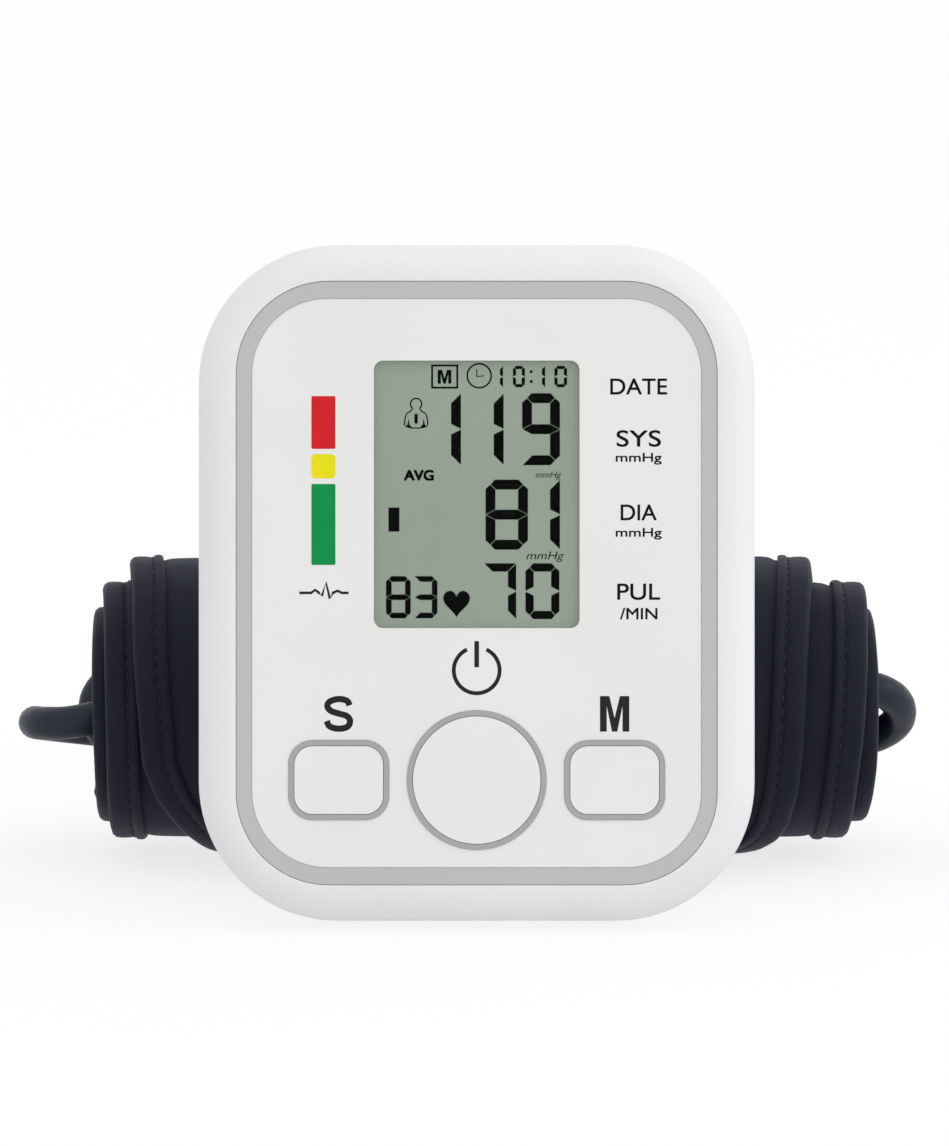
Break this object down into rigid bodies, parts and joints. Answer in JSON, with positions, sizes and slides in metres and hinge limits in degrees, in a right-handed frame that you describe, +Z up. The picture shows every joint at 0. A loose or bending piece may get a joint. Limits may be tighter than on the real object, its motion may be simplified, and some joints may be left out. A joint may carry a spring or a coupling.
{
  "type": "blood pressure monitor",
  "caption": "Upper arm blood pressure monitor with display, start, set and memory keys, battery door, inner pump, and its rolled cuff with folded air hose behind it.",
  "frame": {"origin": "middle of the box around the monitor and its rolled cuff, on the surface that they stand on", "axes": "+X to the right of the person who reads the display, along the roll; +Y away from that person; +Z up"},
  "size_m": [0.1747, 0.112, 0.1244],
  "materials": {
    "case_shell": "fine satin moulding",
    "trim_grey": "satin",
    "face_plate": "satin",
    "window": "clear moulded window",
    "display": "grey-green liquid crystal display",
    "light_moulding": "moulded",
    "dark_moulding": "moulded",
    "seal_rubber": "soft",
    "foot_rubber": "soft",
    "bladder_rubber": "soft",
    "inner_tubing": "silicone",
    "magnet": "ferrite",
    "circuit_board": "solder mask",
    "steel": "plated",
    "copper_winding": "enamelled copper",
    "wire_sheath": "smooth",
    "battery_wrap": "printed sleeve",
    "cuff_cloth": "dark navy woven nylon",
    "cuff_binding": "dark navy woven tape",
    "hook_tape": "hook tape",
    "hose_rubber": "satin",
    "plug_grey": "satin"
  },
  "bodies": {
    "monitor": {"front_cover": "case_shell", "rear_cover": "case_shell", "trim_ring": "trim_grey", "face_panel": "face_plate", "display_window": "window", "lcd_glass": "display", "lcd_frame": "light_moulding", "lcd_connectors": "seal_rubber", "start_collar": "trim_grey", "set_collar": "trim_grey", "memory_collar": "trim_grey", "switch_bodies": "dark_moulding", "main_board": "circuit_board", "board_chips": "dark_moulding", "board_screws": "steel", "pressure_sensor": "light_moulding", "buzzer": "dark_moulding", "pump_motor_can": "steel", "motor_magnets": "magnet", "pump_head": "dark_moulding", "pump_diaphragm": "seal_rubber", "pump_valve_cap": "dark_moulding", "pump_cushion": "seal_rubber", "release_valve": "light_moulding", "air_manifold": "light_moulding", "pump_tube": "inner_tubing", "valve_tube": "inner_tubing", "sensor_tube": "inner_tubing", "jack_tube": "inner_tubing", "air_jack": "plug_grey", "power_socket": "dark_moulding", "wires": "wire_sheath", "battery_springs": "steel", "battery_contacts": "steel", "battery_1": "battery_wrap", "battery_2": "battery_wrap", "battery_3": "battery_wrap", "battery_4": "battery_wrap", "case_screws": "steel", "rubber_feet": "foot_rubber"},
    "start_key": {"start_button": "face_plate", "start_switch_stem": "dark_moulding"},
    "set_key": {"set_button": "face_plate", "set_switch_stem": "dark_moulding"},
    "memory_key": {"memory_button": "face_plate", "memory_switch_stem": "dark_moulding"},
    "battery_door": {"battery_door": "case_shell"},
    "pump_rotor": {"motor_armature": "copper_winding", "pump_shaft": "steel", "pump_crank": "light_moulding"},
    "valve_plunger": {"valve_plunger": "steel"},
    "cuff": {"cuff_cover": "cuff_cloth", "cuff_bladder": "bladder_rubber", "cuff_bindings": "cuff_binding", "hook_patch": "hook_tape", "cuff_ring": "steel", "hose_port": "dark_moulding", "air_hose": "hose_rubber", "air_plug": "plug_grey"}
  },
  "joints": [
    {"name": "start_press", "type": "slide", "parent": "monitor", "child": "start_key", "axis": [0, 0.9903, -0.1392], "range_m": [0, 0.0004], "stiffness_N_per_m": 800, "springref_m": -0.0002},
    {"name": "set_press", "type": "slide", "parent": "monitor", "child": "set_key", "axis": [0, 0.9903, -0.1392], "range_m": [0, 0.0004], "stiffness_N_per_m": 800, "springref_m": -0.0002},
    {"name": "memory_press", "type": "slide", "parent": "monitor", "child": "memory_key", "axis": [0, 0.9903, -0.1392], "range_m": [0, 0.0004], "stiffness_N_per_m": 800, "springref_m": -0.0002},
    {"name": "battery_door_swing", "type": "hinge", "parent": "monitor", "child": "battery_door", "pos_m": [-0.0016, -0.00326, 0.06313], "axis": [-1, 0, 0], "range_deg": [0, 78]},
    {"name": "pump_spin", "type": "hinge", "parent": "monitor", "child": "pump_rotor", "pos_m": [-0.0016, -0.02338, 0.03203], "axis": [1, 0, 0], "continuous": true},
    {"name": "valve_stroke", "type": "slide", "parent": "monitor", "child": "valve_plunger", "axis": [1, 0, 0], "range_m": [0, 0.001], "stiffness_N_per_m": 200, "springref_m": -0.0005},
    {"name": "cuff_carry", "type": "slide", "parent": "monitor", "child": "cuff", "axis": [0, 1, 0], "range_m": [0, 0.06]}
  ]
}
